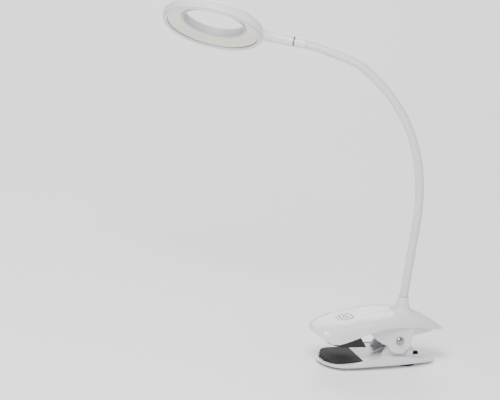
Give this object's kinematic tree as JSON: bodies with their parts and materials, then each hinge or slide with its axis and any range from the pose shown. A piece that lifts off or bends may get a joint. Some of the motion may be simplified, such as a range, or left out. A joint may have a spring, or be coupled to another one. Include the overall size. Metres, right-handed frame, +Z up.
{
  "type": "clip-on reading lamp",
  "caption": "White clip-on reading lamp: a ring-shaped LED head on a bending gooseneck above a sprung clip with rubber jaw pads.",
  "frame": {"origin": "centre of the lower pad's top face, where the clip holds a shelf or board", "axes": "+X from the nose of the clip to its tail, +Z up out of the lower pad towards the upper pad, +Y across the clip to the side away from the near pivot cap"},
  "size_m": [0.2739, 0.1781, 0.3263],
  "materials": {
    "shell_white": "satin gloss",
    "head_white": "satin",
    "head_trim": "matte",
    "diffuser_warm": "frosted",
    "sleeve_silicone": "satin silicone",
    "pad_rubber": "matte",
    "washer_dark": "matte",
    "chrome": "polished",
    "steel": "plain",
    "board_green": "solder mask",
    "board_white": "solder mask",
    "inlet_metal": "dark plated"
  },
  "bodies": {
    "lower_jaw": {"lower_shell": "shell_white", "lower_frame": "shell_white", "lower_pad": "pad_rubber", "rear_foot": "pad_rubber", "front_foot": "pad_rubber", "power_inlet": "inlet_metal", "driver_board": "board_green", "lower_screw_1": "steel", "lower_screw_2": "steel", "lower_screw_3": "steel", "lower_screw_4": "steel", "pivot_pin": "steel", "pivot_cap_near": "chrome", "pivot_cap_far": "chrome", "clip_spring": "steel"},
    "upper_jaw": {"upper_shell": "shell_white", "upper_frame": "shell_white", "upper_tail_cover": "shell_white", "upper_pad": "pad_rubber", "touch_board": "board_green", "upper_screw_1": "steel", "upper_screw_2": "steel", "neck_base_nut": "steel", "neck_sleeve_0": "sleeve_silicone", "neck_core_0": "steel"},
    "link_1": {"neck_sleeve_1": "sleeve_silicone", "neck_core_1": "steel"},
    "link_2": {"neck_sleeve_2": "sleeve_silicone", "neck_core_2": "steel"},
    "link_3": {"neck_sleeve_3": "sleeve_silicone", "neck_core_3": "steel"},
    "link_4": {"neck_sleeve_4": "sleeve_silicone", "neck_core_4": "steel"},
    "link_5": {"neck_sleeve_5": "sleeve_silicone", "neck_core_5": "steel"},
    "link_6": {"neck_sleeve_6": "sleeve_silicone", "neck_core_6": "steel"},
    "link_7": {"neck_sleeve_7": "sleeve_silicone", "neck_core_7": "steel", "neck_collar": "head_white", "swivel_spindle": "steel", "swivel_washer": "washer_dark"},
    "head": {"head_shell": "head_white", "head_bezel": "head_white", "head_inner_collar": "head_trim", "head_diffuser": "diffuser_warm", "led_board": "board_white", "led_board_screw_1": "steel", "led_board_screw_2": "steel", "led_board_screw_3": "steel"}
  },
  "joints": [
    {"name": "jaw_hinge", "type": "hinge", "parent": "lower_jaw", "child": "upper_jaw", "pos_m": [0.052, 0, 0.019], "axis": [0, 1, 0], "range_deg": [-11, 25], "stiffness_Nm_per_rad": 3, "deforming": ["clip_spring"]},
    {"name": "neck_bend_1", "type": "hinge", "parent": "upper_jaw", "child": "link_1", "pos_m": [0.0568, 0, 0.065], "axis": [-0.5344, -0.8453, 0], "range_deg": [-28, 20]},
    {"name": "neck_sway_2", "type": "hinge", "parent": "link_1", "child": "link_2", "pos_m": [0.0568, 0, 0.106], "axis": [0.8453, -0.5344, 0], "range_deg": [-25, 25]},
    {"name": "neck_bend_3", "type": "hinge", "parent": "link_2", "child": "link_3", "pos_m": [0.0563, 0.00032, 0.14699], "axis": [-0.5344, -0.8453, 0], "range_deg": [-28, 20]},
    {"name": "neck_sway_4", "type": "hinge", "parent": "link_3", "child": "link_4", "pos_m": [0.05029, 0.00412, 0.18728], "axis": [0.8093, -0.5116, 0.2884], "range_deg": [-25, 25]},
    {"name": "neck_bend_5", "type": "hinge", "parent": "link_4", "child": "link_5", "pos_m": [0.03594, 0.01319, 0.22446], "axis": [-0.5344, -0.8453, 0], "range_deg": [-28, 20]},
    {"name": "neck_sway_6", "type": "hinge", "parent": "link_5", "child": "link_6", "pos_m": [0.01304, 0.02766, 0.255], "axis": [0.5349, -0.3381, 0.7743], "range_deg": [-25, 25]},
    {"name": "neck_bend_7", "type": "hinge", "parent": "link_6", "child": "link_7", "pos_m": [-0.01696, 0.04663, 0.27512], "axis": [-0.5344, -0.8453, 0], "range_deg": [-28, 20]},
    {"name": "head_swivel", "type": "hinge", "parent": "link_7", "child": "head", "pos_m": [-0.06146, 0.07476, 0.28224], "axis": [0.8447, -0.534, -0.0349], "range_deg": [-90, 90]}
  ]
}
